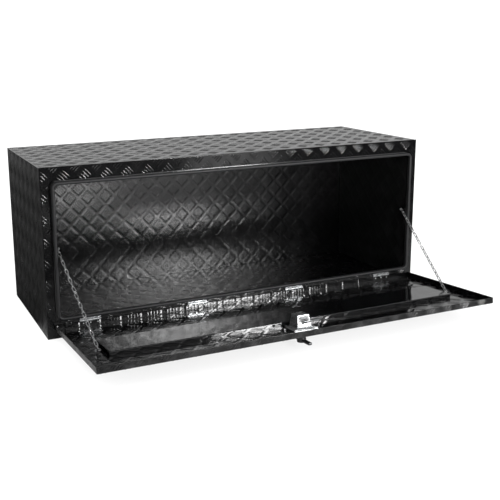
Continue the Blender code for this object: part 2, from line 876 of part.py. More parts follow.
def make_chains(door_axis):
    """On each side: a box anchor, a door anchor and the chain between them, in two runs."""
    bpy.context.view_layer.update()
    door_matrix = door_axis.matrix_world.copy()
    for word, side in (("left", -1), ("right", 1)):
        box_x = opening_half - box_anchor_inset
        box_place = Vector((side * box_x, front_y + box_anchor_back, box_anchor_height))
        door_x = door_half - door_anchor_inset
        door_height = floor_in + door_anchor_height
        door_place = Vector((side * door_x, -door_anchor_place, door_height))
        span = door_matrix @ door_place - box_place
        inner_length = link_inner_length(span.length)

        upper_axis = add_axis(f"{word}_upper_chain_axis", box_place, facing(span))
        make_chain(f"{word}_upper_chain", upper_axis, inner_length, upper_link_count)
        local_span = door_matrix.to_3x3().inverted() @ -span
        lower_axis = add_axis(f"{word}_lower_chain_axis", door_place, facing(local_span), door_axis)
        make_chain(f"{word}_lower_chain", lower_axis, inner_length, link_count - upper_link_count)

        leg = side * (box_x + anchor_half_space)
        rear_face = front_y + sheet + gap
        foot = side * (box_x + anchor_half_space + bracket_foot)
        leg_end = box_place.y + bracket_over
        path = [(foot, rear_face), (leg, rear_face), (leg, leg_end)]
        if side > 0:
            path = path[::-1]
        low = box_place.z - bracket_half
        make_bracket(
            f"{word}_box_bracket", path, low, low + 2 * bracket_half, "XY", box_place, None
        )
        make_anchor_bolt(f"{word}_box_anchor", side, box_place, None)

        leg = side * (door_x + anchor_half_space)
        foot = side * (door_x + anchor_half_space + bracket_foot)
        base = floor_in + gap
        path = [(foot, base), (leg, base), (leg, door_height + bracket_over)]
        if side > 0:
            path = path[::-1]
        low = door_place.y - bracket_half
        make_bracket(
            f"{word}_door_bracket", path, low, low + 2 * bracket_half, "XZ", door_place, door_axis
        )
        make_anchor_bolt(f"{word}_door_anchor", side, door_place, door_axis)


def main():
    make_panels()
    make_front()
    door_axis = add_axis("door_axis", hinge_axis, Matrix.Rotation(-open_slope, 4, "X"))
    make_hinges(door_axis)
    make_door(door_axis)
    make_latch(door_axis)
    make_chains(door_axis)


main()
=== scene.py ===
"""Underbody truck tool box: tread plate sheets, drop-down door, chains and T-handle latch."""
import json
import math

import bmesh
import bpy
from mathutils import Matrix, Vector


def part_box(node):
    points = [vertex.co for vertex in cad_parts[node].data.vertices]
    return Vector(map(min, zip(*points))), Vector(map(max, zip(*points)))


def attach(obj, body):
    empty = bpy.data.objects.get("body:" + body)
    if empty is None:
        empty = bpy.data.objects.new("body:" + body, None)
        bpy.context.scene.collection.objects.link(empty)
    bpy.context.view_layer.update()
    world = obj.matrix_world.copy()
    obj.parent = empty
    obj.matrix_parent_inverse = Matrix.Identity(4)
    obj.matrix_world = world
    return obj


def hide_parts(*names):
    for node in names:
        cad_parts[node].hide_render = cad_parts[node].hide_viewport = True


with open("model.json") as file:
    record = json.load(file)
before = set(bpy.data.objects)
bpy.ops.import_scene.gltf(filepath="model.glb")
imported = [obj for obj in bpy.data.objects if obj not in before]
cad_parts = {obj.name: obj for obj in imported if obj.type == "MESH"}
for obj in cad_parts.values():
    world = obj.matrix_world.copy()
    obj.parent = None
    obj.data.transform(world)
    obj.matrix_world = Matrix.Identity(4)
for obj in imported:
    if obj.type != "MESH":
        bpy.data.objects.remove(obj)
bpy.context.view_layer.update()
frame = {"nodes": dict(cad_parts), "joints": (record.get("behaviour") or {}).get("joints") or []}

bl_info = {
    "name": "Underbody tool box",
    "version": (1, 0, 0),
    "blender": (4, 5, 0),
    "location": "View3D > Sidebar > Tool box",
    "description": "Dresses the packed tool box with its tread plate, door, latch and chains",
    "category": "Object",
}

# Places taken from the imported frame
JOINTS = {joint["name"]: joint for joint in frame["joints"]}
HINGE = Vector(JOINTS["door_hinge"]["pos_m"])
TOP_LOW, TOP_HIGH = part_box("top_panel")
SEAL_LOW, SEAL_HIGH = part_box("door_seal")
HALF_WIDTH = TOP_HIGH.x
BACK = TOP_HIGH.y
HEIGHT = TOP_HIGH.z
SHEET = TOP_HIGH.z - TOP_LOW.z
GAP = 0.0003
FRONT = TOP_LOW.y - SHEET - GAP
# Door pieces are made level about the hinge; this tilts them to where the open door rests
OPEN_SLOPE = math.radians(4.1)
DOOR = Matrix.Translation(HINGE) @ Matrix.Rotation(-OPEN_SLOPE, 4, "X")
# The pan in the level door's place: half its length, its floor, its reach and its back edge
PAN_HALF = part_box("door_pan")[1].x
PAN_FLOOR = -0.0177
PAN_REACH = 0.4064
PAN_BACK = 0.0011
LATCH_Y = -0.3264
RIVET_RADIUS = 0.0024
RIVET_PITCH = 0.0205
RIVET_ROW = 0.0082


def length(name, description, default, least=0.0002):
    return bpy.props.FloatProperty(
        name=name, description=description, default=default, min=least, unit="LENGTH"
    )


def tone(name, description, default):
    return bpy.props.FloatVectorProperty(
        name=name, description=description, subtype="COLOR", default=default, min=0, max=1
    )


class BoxSizes(bpy.types.PropertyGroup):
    """Sizes of the pieces that dress the frame."""
    tread_pitch: length("Tread pitch", "From one bar group to the next of the same lay", 0.0602, 0.03)
    bar_length: length("Bar length", "Length of one raised bar", 0.0305, 0.005)
    bar_width: length("Bar width", "Width of one raised bar at its foot", 0.0044, 0.001)
    bar_pitch: length("Bar pitch", "From bar to bar in the groups of five", 0.0067, 0.002)
    wide_pitch: length("Wide bar pitch", "From bar to bar in the groups of four", 0.0081, 0.002)
    bar_rise: length("Bar rise", "Height of the bars above the sheet", 0.0006)
    fold: length("Fold", "Radius of the door pan's folds", 0.0022)
    lip_fillet: length("Lip fillet", "Radius where the front turns into the opening's lip", 0.0045, 0.0005)
    link_wire: length("Chain wire", "Wire radius of the chain", 0.00125, 0.0003)
    link_width: length("Link width", "Outer width of a chain link", 0.0095, 0.002)


class BoxColours(bpy.types.PropertyGroup):
    """Base colours of the finishes."""
    coat: tone("Powder coat", "Black of the coated tread plate", (0.0010, 0.0010, 0.0011))
    rubber: tone("Rubber", "Grey black of the door seal", (0.005, 0.005, 0.0055))
    zinc: tone("Zinc", "Bright zinc of the hinges and latch", (0.56, 0.57, 0.58))
    chain: tone("Chain zinc", "Duller zinc of the chains", (0.58, 0.585, 0.59))
    handle: tone("Handle black", "Satin black of the T-handle", (0.012, 0.012, 0.013))
    chrome: tone("Chrome", "Plating of the lock plug", (0.82, 0.83, 0.85))
    floor: tone("Floor", "Pale studio floor", (0.92, 0.92, 0.92))


def sizes():
    return bpy.context.scene.tool_box_sizes


def colours():
    return bpy.context.scene.tool_box_colours


# Handling objects


def pick(*items):
    """Selects only these objects; the last one is active."""
    bpy.ops.object.select_all(action="DESELECT")
    for item in items:
        item.select_set(True)
    bpy.context.view_layer.objects.active = items[-1]


def place(item):
    """Puts an object's place into its mesh, so that the object sits at the origin."""
    pick(item)
    bpy.ops.object.transform_apply(location=True, rotation=True, scale=True)
    return item


def copy_of(item, name, matrix=None):
    """A copy with its own mesh."""
    twin = item.copy()
    twin.data = item.data.copy()
    twin.name = name
    bpy.context.collection.objects.link(twin)
    if matrix is not None:
        twin.data.transform(matrix)
    return twin


def weld(name, pieces):
    """Joins several objects into one, named."""
    pick(*pieces)
    bpy.ops.object.join()
    item = bpy.context.object
    item.name = name
    item.data.name = name
    return item


def drop(item):
    bpy.data.objects.remove(item, do_unlink=True)


def edit(item, kind="FACE"):
    """Opens a mesh for editing with nothing selected."""
    pick(item)
    bpy.ops.object.mode_set(mode="EDIT")
    bpy.ops.mesh.select_mode(type=kind)
    bpy.ops.mesh.select_all(action="DESELECT")


def select_whole():
    bpy.ops.mesh.select_all(action="SELECT")


def close_edit():
    bpy.ops.object.mode_set(mode="OBJECT")


def mark(item, kind, test):
    """In edit mode, selects the vertices, edges or faces that pass a test."""
    shape = bmesh.from_edit_mesh(item.data)
    for part in {"VERT": shape.verts, "EDGE": shape.edges, "FACE": shape.faces}[kind]:
        if test(part):
            part.select_set(True)
    bmesh.update_edit_mesh(item.data)


def remove_faces(item, test):
    """Opens a shape where its faces pass a test."""
    edit(item)
    mark(item, "FACE", test)
    bpy.ops.mesh.delete(type="FACE")
    close_edit()


def round_edges(item, offset, segments, test):
    """Bevels the edges that pass a test."""
    edit(item, "EDGE")
    mark(item, "EDGE", test)
    bpy.ops.mesh.bevel(offset=offset, segments=segments)
    close_edit()


def face_out(item):
    """Merges doubles and turns every face outwards."""
    edit(item)
    select_whole()
    bpy.ops.mesh.remove_doubles(threshold=0.000005)
    bpy.ops.mesh.normals_make_consistent(inside=False)
    close_edit()


def with_modifier(item, kind, **values):
    """Adds a modifier, sets it and applies it."""
    pick(item)
    modifier = item.modifiers.new(kind.title(), kind)
    for key, value in values.items():
        setattr(modifier, key, value)
    bpy.ops.object.modifier_apply(modifier=modifier.name)
    return item


def soften(item, width, segments=2, angle=35):
    """Rounds every edge sharper than an angle."""
    return with_modifier(
        item, "BEVEL", width=width, segments=segments, limit_method="ANGLE",
        angle_limit=math.radians(angle),
    )


def smooth(item, angle=40):
    """Smooth shading up to an angle, with flat faces kept flat."""
    pick(item)
    bpy.ops.object.shade_smooth_by_angle(angle=math.radians(angle))
    return with_modifier(item, "WEIGHTED_NORMAL", keep_sharp=True, weight=50)


def block(name, low, high):
    """A block between two corners."""
    low, high = Vector(low), Vector(high)
    bpy.ops.mesh.primitive_cube_add(size=1, location=(low + high) / 2, scale=high - low)
    item = bpy.context.object
    item.name = name
    return place(item)


def rod(name, radius, start, end, sides=24):
    """A round rod between two points."""
    start, end = Vector(start), Vector(end)
    run = end - start
    bpy.ops.mesh.primitive_cylinder_add(
        vertices=sides, radius=radius, depth=run.length, location=(start + end) / 2,
        rotation=run.to_track_quat("Z", "Y").to_euler(),
    )
    item = bpy.context.object
    item.name = name
    return place(item)


def cut(item, tool, operation="DIFFERENCE"):
    """Cuts or joins one shape with another and removes the tool."""
    with_modifier(item, "BOOLEAN", object=tool, operation=operation, solver="EXACT")
    drop(tool)
    return item


def shave(item, point, outward):
    """Cuts off what lies beyond a plane and closes the cut."""
    edit(item)
    select_whole()
    bpy.ops.mesh.bisect(plane_co=point, plane_no=outward, use_fill=True, clear_outer=True)
    close_edit()


def finish_piece(item, body, nodes, finish=None, matrix=None):
    """Moves a piece into place, gives it its finish and its body, and hides the imported nodes that it
    stands for.
    """
    if matrix is not None:
        item.data.transform(matrix)
    if finish:
        item.data.materials.append(FINISHES[finish])
    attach(item, body)
    if nodes:
        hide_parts(*nodes)


# Material nodes


def feed(tree, value, socket):
    """Links a socket to another one, or sets it to a value."""
    if isinstance(value, bpy.types.NodeSocket):
        tree.links.new(value, socket)
    else:
        socket.default_value = value


def make_group(name, inputs, outputs):
    """A node group that takes a place and numbers and puts out numbers, and its end sockets."""
    tree = bpy.data.node_groups.new(name, "ShaderNodeTree")
    tree.interface.new_socket(name="Place", in_out="INPUT", socket_type="NodeSocketVector")
    for title, default in inputs.items():
        socket = tree.interface.new_socket(name=title, in_out="INPUT", socket_type="NodeSocketFloat")
        socket.default_value = default
    for title in outputs:
        tree.interface.new_socket(name=title, in_out="OUTPUT", socket_type="NodeSocketFloat")
    return tree, tree.nodes.new("NodeGroupInput").outputs, tree.nodes.new("NodeGroupOutput").inputs


def math_node(tree, operation, *values):
    node = tree.nodes.new("ShaderNodeMath")
    node.operation = operation
    for value, socket in zip(values, node.inputs):
        feed(tree, value, socket)
    return node.outputs[0]


def noise_node(tree, place_socket, scale, detail, roughness=0.5):
    node = tree.nodes.new("ShaderNodeTexNoise")
    values = {"Vector": place_socket, "Scale": scale, "Detail": detail, "Roughness": roughness}
    for title, value in values.items():
        feed(tree, value, node.inputs[title])
    return node.outputs["Fac"]


def spread(tree, value, low, high, to_low, to_high):
    """Maps a value from one range to another and keeps it within its ends."""
    node = tree.nodes.new("ShaderNodeMapRange")
    titles = ("Value", "From Min", "From Max", "To Min", "To Max")
    for title, number in zip(titles, (value, low, high, to_low, to_high)):
        feed(tree, number, node.inputs[title])
    return node.outputs["Result"]


def mix(tree, mask, first, second, as_colour=True):
    """One value, or colour, where the mask is 0 and another where it is 1."""
    node = tree.nodes.new("ShaderNodeMix")
    node.data_type = "RGBA" if as_colour else "FLOAT"
    sockets = (0, 6, 7) if as_colour else (0, 2, 3)
    for index, value in zip(sockets, (mask, first, second)):
        feed(tree, value, node.inputs[index])
    return node.outputs[2 if as_colour else 0]


def coat_grain_group():
    """The orange peel, slow waviness and uneven gloss of a powder coat."""
    tree, given, result = make_group(
        "Coat grain", {"Peel size": 420.0, "Wave size": 9.0, "Gloss low": 0.2, "Gloss high": 0.3},
        ("Height", "Waves", "Roughness"),
    )
    patches = noise_node(tree, given["Place"], 23.0, 4.0, 0.6)
    gloss = spread(tree, patches, 0.3, 0.7, given["Gloss low"], given["Gloss high"])
    feed(tree, noise_node(tree, given["Place"], given["Peel size"], 2.0), result["Height"])
    feed(tree, noise_node(tree, given["Place"], given["Wave size"], 1.0), result["Waves"])
    feed(tree, gloss, result["Roughness"])
    return tree


def dust_group():
    """Thin patches of dust and handling marks, as a mask."""
    tree, given, result = make_group("Dust", {"Size": 30.0, "Amount": 0.2}, ("Mask",))
    cloud = noise_node(tree, given["Place"], given["Size"], 6.0, 0.65)
    speck = noise_node(tree, given["Place"], 700.0, 1.0)
    both = math_node(
        tree, "MAXIMUM", spread(tree, cloud, 0.45, 0.75, 0.0, 1.0), spread(tree, speck, 0.62, 0.7, 0.0, 1.0)
    )
    feed(tree, math_node(tree, "MULTIPLY", both, given["Amount"]), result["Mask"])
    return tree


def pressed_bars_group():
    """The groups of bars as they show, soft, on the smooth back of the sheet."""
    tree, given, result = make_group("Pressed bars", {"Pitch": 0.0602, "Bar pitch": 0.0064}, ("Height",))
    split = tree.nodes.new("ShaderNodeSeparateXYZ")
    feed(tree, given["Place"], split.inputs[0])
    turns = math_node(tree, "DIVIDE", given["Pitch"], given["Bar pitch"])
    full_turn = 2 * math.pi / math.sqrt(2)
    cells, stripes, window = [], [], 1.0
    for operation in ("ADD", "SUBTRACT"):
        diagonal = math_node(tree, operation, split.outputs[0], split.outputs[1])
        count = math_node(tree, "DIVIDE", diagonal, given["Pitch"])
        cells.append(math_node(tree, "ROUND", count))
        rest = math_node(tree, "SUBTRACT", count, cells[-1])
        turn = math_node(tree, "MULTIPLY", math_node(tree, "MULTIPLY", rest, turns), full_turn)
        stripes.append(spread(tree, math_node(tree, "COSINE", turn), -0.3, 1.0, 0.0, 1.0))
        edge = spread(tree, math_node(tree, "ABSOLUTE", rest), 0.30, 0.45, 1.0, 0.0)
        window = math_node(tree, "MULTIPLY", edge, window)
    odd = math_node(tree, "FLOORED_MODULO", math_node(tree, "ADD", *cells), 2.0)
    striped = spread(tree, mix(tree, odd, stripes[1], stripes[0], False), 0.0, 1.0, 0.80, 1.0)
    feed(tree, math_node(tree, "MULTIPLY", striped, window), result["Height"])
    return tree


def plating_group():
    """Spangle and fine scratches of a zinc plated steel."""
    tree, given, result = make_group(
        "Plating", {"Spangle size": 220.0, "Gloss low": 0.22, "Gloss high": 0.4},
        ("Shade", "Height", "Roughness"),
    )
    cells = tree.nodes.new("ShaderNodeTexVoronoi")
    feed(tree, given["Place"], cells.inputs["Vector"])
    feed(tree, given["Spangle size"], cells.inputs["Scale"])
    grey = tree.nodes.new("ShaderNodeRGBToBW")
    feed(tree, cells.outputs["Color"], grey.inputs[0])
    stretch = tree.nodes.new("ShaderNodeMapping")
    feed(tree, (60.0, 900.0, 900.0), stretch.inputs["Scale"])
    feed(tree, given["Place"], stretch.inputs["Vector"])
    scratches = noise_node(tree, stretch.outputs[0], 1.0, 2.0)
    gloss = spread(tree, scratches, 0.35, 0.65, given["Gloss low"], given["Gloss high"])
    for title, value in (("Shade", grey.outputs[0]), ("Height", scratches), ("Roughness", gloss)):
        feed(tree, value, result[title])
    return tree


class Finish:
    """A material under construction: its tree, its shader and its Object coordinates."""

    def __init__(self, name, metallic=0.0, coat=0.0):
        self.material = bpy.data.materials.new(name)
        self.material.use_nodes = True
        self.tree = self.material.node_tree
        self.shader = self.tree.nodes["Principled BSDF"]
        self.shader.inputs["Metallic"].default_value = metallic
        self.shader.inputs["Coat Weight"].default_value = coat
        self.place = self.tree.nodes.new("ShaderNodeTexCoord").outputs["Object"]

    def add_group(self, title, build, place_socket=None, **values):
        """Places a node group, built the first time it is asked for, and hands over its outputs."""
        node = self.tree.nodes.new("ShaderNodeGroup")
        node.node_tree = bpy.data.node_groups.get(title) or build()
        feed(self.tree, self.place if place_socket is None else place_socket, node.inputs["Place"])
        for key, value in values.items():
            node.inputs[key.replace("_", " ").capitalize()].default_value = value
        return node.outputs

    def turned_place(self, rotation, location=(0, 0, 0)):
        """Object coordinates moved back by a place and turned."""
        node = self.tree.nodes.new("ShaderNodeMapping")
        node.vector_type = "TEXTURE"
        for title, value in (("Location", location), ("Rotation", rotation), ("Vector", self.place)):
            feed(self.tree, value, node.inputs[title])
        return node.outputs[0]

    def tint(self, mask, dark, light):
        """Base colour between two colours by a mask."""
        colour = mix(self.tree, mask, (*dark, 1), (*light, 1))
        feed(self.tree, colour, self.shader.inputs["Base Color"])

    def bump(self, height, distance):
        """Raises the surface by a height, on top of the bumps it has."""
        node = self.tree.nodes.new("ShaderNodeBump")
        feed(self.tree, distance, node.inputs["Distance"])
        feed(self.tree, height, node.inputs["Height"])
        before = self.shader.inputs["Normal"].links
        if before:
            feed(self.tree, before[0].from_socket, node.inputs["Normal"])
        feed(self.tree, node.outputs[0], self.shader.inputs["Normal"])

    def roughness(self, socket):
        feed(self.tree, socket, self.shader.inputs["Roughness"])


def lighter(colour, factor, lift=0.0):
    return [min(1.0, part * factor + lift) for part in colour]


def grained_finish(name, dark, light, gloss, dust, bumps, dust_size=30.0, coat=0.0, **grain_sizes):
    """A coated or moulded finish: its grain, its waves where it has any, its gloss and its dust."""
    finish = Finish(name, coat=coat)
    grain = finish.add_group(
        "Coat grain", coat_grain_group, gloss_low=gloss[0], gloss_high=gloss[1], **grain_sizes
    )
    marks = finish.add_group("Dust", dust_group, amount=dust, size=dust_size)
    finish.tint(marks["Mask"], dark, light)
    finish.roughness(grain["Roughness"])
    for title, distance in zip(("Height", "Waves"), bumps):
        finish.bump(grain[title], distance)
    return finish


def coat_finish(name, gloss=(0.2, 0.3), dust=0.1, pressed=None, waves=0.0006, relief=0.0005):
    """Black powder coat; pressed holds the rotation and place of the plane its bars show on."""
    coat = colours().coat
    finish = grained_finish(name, coat, lighter(coat, 3.0, 0.02), gloss, dust, (0.00002, waves))
    if pressed:
        bars = finish.add_group(
            "Pressed bars", pressed_bars_group, finish.turned_place(*pressed),
            pitch=sizes().tread_pitch, bar_pitch=sizes().bar_pitch,
        )
        finish.bump(bars["Height"], relief)
    return finish.material


def zinc_finish(name, colour, gloss, spangle=260.0, metallic=0.8):
    finish = Finish(name, metallic=metallic)
    plating = finish.add_group(
        "Plating", plating_group, spangle_size=spangle, gloss_low=gloss[0], gloss_high=gloss[1]
    )
    finish.tint(plating["Shade"], lighter(colour, 0.82), colour)
    finish.roughness(plating["Roughness"])
    finish.bump(plating["Height"], 0.00003)
    return finish.material


def rubber_finish(name):
    rubber = colours().rubber
    finish = grained_finish(
        name, rubber, lighter(rubber, 1.8), (0.42, 0.55), 0.4, (0.00006, 0.0003), 60.0,
        peel_size=900.0, wave_size=30.0,
    )
    finish.shader.inputs["Specular IOR Level"].default_value = 0.3
    return finish.material


def handle_finish(name):
    black = colours().handle
    return grained_finish(
        name, black, lighter(black, 2.0, 0.02), (0.3, 0.42), 0.15, (0.00006,), 90.0, 0.3, peel_size=650.0
    ).material


def make_finishes():
    """Every finish of the box, by name."""
    tone = colours()
    down = (0.0, 0.0, 0.0)
    upright = (math.pi / 2, 0.0, 0.0)
    sideways = (math.pi / 2, 0.0, math.pi / 2)
    return {
        "outside": coat_finish("Tread coat outside", gloss=(0.19, 0.27), dust=0.08),
        "front": coat_finish("Tread coat front", gloss=(0.09, 0.14), dust=0.02),
        "rim": coat_finish("Tread coat rim", gloss=(0.18, 0.28), dust=0.6),
        "ends": coat_finish("Tread coat ends", gloss=(0.26, 0.36), dust=0.12),
        "flat_inside": coat_finish("Tread coat inside, flat", pressed=(down,)),
        "upright_inside": coat_finish(
            "Tread coat inside, upright", gloss=(0.17, 0.25), dust=0.12, pressed=(upright,), relief=0.0004,
        ),
        "end_inside": coat_finish(
            "Tread coat inside, ends", gloss=(0.3, 0.4), dust=0.4, pressed=(sideways,),
        ),
        "door_inside": coat_finish(
            "Tread coat inside, door", gloss=(0.06, 0.12), dust=0.03,
            pressed=((-OPEN_SLOPE, 0.0, 0.0), tuple(HINGE)), waves=0.0007, relief=0.0007,
        ),
        "smooth": coat_finish("Smooth coat", gloss=(0.10, 0.16), dust=0.05),
        "channel": coat_finish("Channel coat", gloss=(0.05, 0.09), dust=0.02, waves=0.0016),
        "rubber": rubber_finish("Seal rubber"),
        "zinc": zinc_finish("Bright zinc", lighter(tone.zinc, 0.9), gloss=(0.20, 0.36), metallic=0.95),
        "cover_zinc": zinc_finish(
            "Pressed zinc", lighter(tone.zinc, 0.85), gloss=(0.15, 0.30), spangle=90.0, metallic=0.96,
        ),
        "chain": zinc_finish("Chain zinc", tone.chain, gloss=(0.18, 0.32), spangle=700.0, metallic=0.95),
        "handle": handle_finish("Handle black"),
        "chrome": zinc_finish("Lock chrome", tone.chrome, gloss=(0.06, 0.14), spangle=60.0),
    }


FINISHES = {}


# Tread plate


# Each step of a bar's rounded side: its share of the rise, then how far it draws in along and across
BAR_STEPS = ((0.30, 0.97, 0.90), (0.42, 0.93, 0.64), (0.28, 0.88, 0.50))
BAR_FOOT = 0.0001


def make_bar():
    """One raised bar, long along X, its foot a little below Z = 0."""
    size = sizes()
    bpy.ops.mesh.primitive_circle_add(vertices=10, radius=1, fill_type="NGON", location=(0, 0, 0))
    bar = bpy.context.object
    bar.scale = (size.bar_length / 2, size.bar_width / 2, 1)
    place(bar)
    edit(bar)
    select_whole()
    for rise, long, wide in BAR_STEPS:
        bpy.ops.mesh.extrude_region_move(
            TRANSFORM_OT_translate={"value": (0, 0, (size.bar_rise + BAR_FOOT) * rise)}
        )
        bpy.ops.transform.resize(value=(long, wide, 1), center_override=(0, 0, 0))
    close_edit()
    bar.data.transform(Matrix.Translation((0, 0, -BAR_FOOT)))
    face_out(bar)
    return bar


def repeat(item, count, step):
    """A row of copies at a constant step, about the first one's place."""
    with_modifier(
        item, "ARRAY", count=count, use_relative_offset=False, use_constant_offset=True,
        constant_offset_displace=step,
    )
    item.data.transform(Matrix.Translation(-Vector(step) * (count - 1) / 2))
    return item


def make_tread_field(half_wide, half_high):
    """Groups of five and of four bars, in two lays at right angles, over a patch about the origin."""
    size = sizes()
    bar = make_bar()
    pitch = size.tread_pitch
    columns, rows = (2 * math.ceil(half / pitch) + 1 for half in (half_wide, half_high))
    fields = []
    for lay, shift, count, step in ((45, 0.0, 5, size.bar_pitch), (-45, pitch / 2, 4, size.wide_pitch)):
        field = repeat(copy_of(bar, "tread field"), count, (0, step, 0))
        field.data.transform(Matrix.Rotation(math.radians(lay), 4, "Z"))
        repeat(field, columns, (pitch, 0, 0))
        repeat(field, rows, (0, pitch, 0))
        field.data.transform(Matrix.Translation((shift, shift, 0)))
        fields.append(field)
    drop(bar)
    return weld("tread field", fields)


def tread_patch(field, matrix, low, high, shift=(0, 0)):
    """A copy of the field, trimmed to a rectangle of its own plane and laid by a matrix."""
    patch = copy_of(field, "tread patch", Matrix.Translation((*shift, 0)))
    for point, outward in (
        ((low[0], 0, 0), (-1, 0, 0)), ((high[0], 0, 0), (1, 0, 0)),
        ((0, low[1], 0), (0, -1, 0)), ((0, high[1], 0), (0, 1, 0)),
    ):
        shave(patch, point, outward)
    patch.data.transform(matrix)
    return patch


def paint_inside(item, inward, outside, inside):
    """Two materials: the outside one, and the inside one on faces that look inwards."""
    item.data.materials.clear()
    item.data.materials.append(outside)
    item.data.materials.append(inside)
    inward = Vector(inward)
    for face in item.data.polygons:
        face.material_index = 1 if face.normal.dot(inward) > 0.7 else 0


ON_TOP = Matrix.Identity(4)
UNDERNEATH = Matrix.Rotation(math.pi, 4, "X")
ON_FRONT = Matrix.Rotation(math.pi / 2, 4, "X")
ON_BACK = Matrix.Rotation(math.pi, 4, "Z") @ ON_FRONT
ON_RIGHT = Matrix.Rotation(math.pi / 2, 4, "Z") @ ON_FRONT
ON_LEFT = Matrix.Rotation(-math.pi / 2, 4, "Z") @ ON_FRONT
EDGE_ROOM = 0.0035
# The sheets are welded where they meet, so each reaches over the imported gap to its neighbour
WELD = 0.00032
# The front's pattern isn't quite level: it drops towards the right, from a little off the middle
FRONT_TILT = math.radians(-0.63)
FRONT_SHIFT = (0.0235, -0.0060)


class TOOLBOX_OT_tread_sheets(bpy.types.Operator):
    """Top, bottom, back and end sheets with their raised bars"""
    bl_idname = "toolbox.tread_sheets"
    bl_label = "Tread sheets"

    def execute(self, context):
        size = sizes()
        rise = size.bar_rise
        field = make_tread_field(HALF_WIDTH, HEIGHT / 2)
        inside_front = FRONT + SHEET + GAP
        plans = (
            ("top_panel", ON_TOP, (0, 0, HEIGHT), (0, 0, -1), "flat_inside", (-0.0577, 0.0341)),
            ("bottom_panel", UNDERNEATH, (0, 0, 0), (0, 0, 1), "flat_inside", (0, 0)),
            ("back_panel", ON_BACK, (0, BACK, HEIGHT / 2), (0, -1, 0), "upright_inside", (0, 0)),
            ("left_end_panel", ON_LEFT, (-HALF_WIDTH, 0, HEIGHT / 2), (1, 0, 0), "end_inside", (0, 0)),
            ("right_end_panel", ON_RIGHT, (HALF_WIDTH, 0, HEIGHT / 2), (-1, 0, 0), "end_inside", (0, 0)),
        )
        for node, turn, middle, inward, inside, shift in plans:
            low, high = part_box(node)
            endways, backways, upright = (abs(part) > 0.5 for part in inward)
            skin_low = [a + (rise if n > 0 else 0) for a, n in zip(low, inward)]
            skin_high = [b - (rise if n < 0 else 0) for b, n in zip(high, inward)]
            up = 0 if upright else WELD
            skin = block(
                node + " skin", Vector(skin_low) - Vector((0, 0 if backways else WELD, up)),
                Vector(skin_high) + Vector((0, WELD if endways else 0, up)),
            )
            soften(skin, 0.0006)
            lay = Matrix.Translation(Vector(middle) + Vector(inward) * rise) @ turn
            depth = (BACK - inside_front) / 2
            spread_x = depth if endways else HALF_WIDTH
            spread_y = depth if upright else HEIGHT / 2
            patch = tread_patch(
                field, lay, (-spread_x + EDGE_ROOM, -spread_y + EDGE_ROOM),
                (spread_x - EDGE_ROOM, spread_y - EDGE_ROOM), shift,
            )
            sheet = weld(node.replace("_panel", "_sheet"), [patch, skin])
            face_out(sheet)
            smooth(sheet, 50)
            paint_inside(sheet, inward, FINISHES["ends" if endways else "outside"], FINISHES[inside])
            finish_piece(sheet, "box", [node])
        drop(field)
        return {"FINISHED"}


def ring(name, half, bottom, top, corner, width, front, rear, steps=8):
    """A rounded rectangular ring in the XZ plane; width runs outwards from its inner edge."""
    bpy.ops.mesh.primitive_plane_add(
        size=1, location=(0, front, (bottom + top) / 2), rotation=(math.pi / 2, 0, 0)
    )
    item = bpy.context.object
    item.name = name
    item.scale = (2 * (half + width), top - bottom + 2 * width, 1)
    place(item)
    edit(item, "VERT")
    select_whole()
    bpy.ops.mesh.bevel(offset=corner + width, segments=steps, affect="VERTICES", clamp_overlap=False)
    select_whole()
    bpy.ops.mesh.select_mode(type="FACE")
    bpy.ops.mesh.inset(thickness=width, use_even_offset=True)
    bpy.ops.mesh.delete(type="FACE")
    select_whole()
    bpy.ops.mesh.extrude_region_move(TRANSFORM_OT_translate={"value": (0, rear - front, 0)})
    close_edit()
    face_out(item)
    return item


